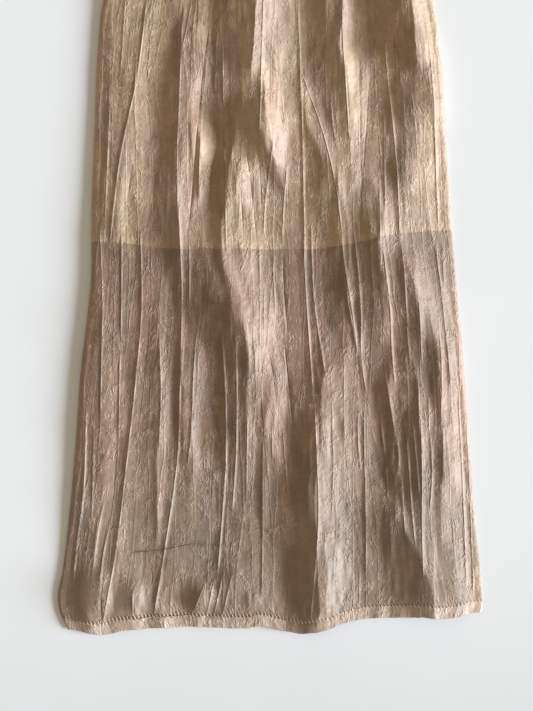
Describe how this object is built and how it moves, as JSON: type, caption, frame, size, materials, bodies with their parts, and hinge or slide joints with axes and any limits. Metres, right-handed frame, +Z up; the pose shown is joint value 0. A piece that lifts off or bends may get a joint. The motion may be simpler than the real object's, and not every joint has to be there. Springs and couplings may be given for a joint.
{
  "type": "prairie skirt",
  "caption": "Long crinkled sheer skirt with a short lining and an elastic waist, lying flat on its back with its folds on top.",
  "frame": {"origin": "under the middle of the skirt's bounding box, on the surface that it lies on", "axes": "+Z up out of the surface, +Y from the hem to the waist, +X to the right as seen from above with the front on top"},
  "size_m": [0.5504, 0.94, 0.031],
  "materials": {
    "sheer_crinkle": "crinkle-pressed sheer cloth with a low satin sheen, warm taupe",
    "lining_satin": "plain cream lining cloth with a low sheen",
    "waistband_cloth": "the skirt's cloth gathered over elastic"
  },
  "bodies": {
    "root": {"front_panel": "sheer_crinkle", "back_panel": "sheer_crinkle", "lining_front": "lining_satin", "lining_back": "lining_satin", "waistband_front": "waistband_cloth", "waistband_back": "waistband_cloth"}
  },
  "joints": []
}
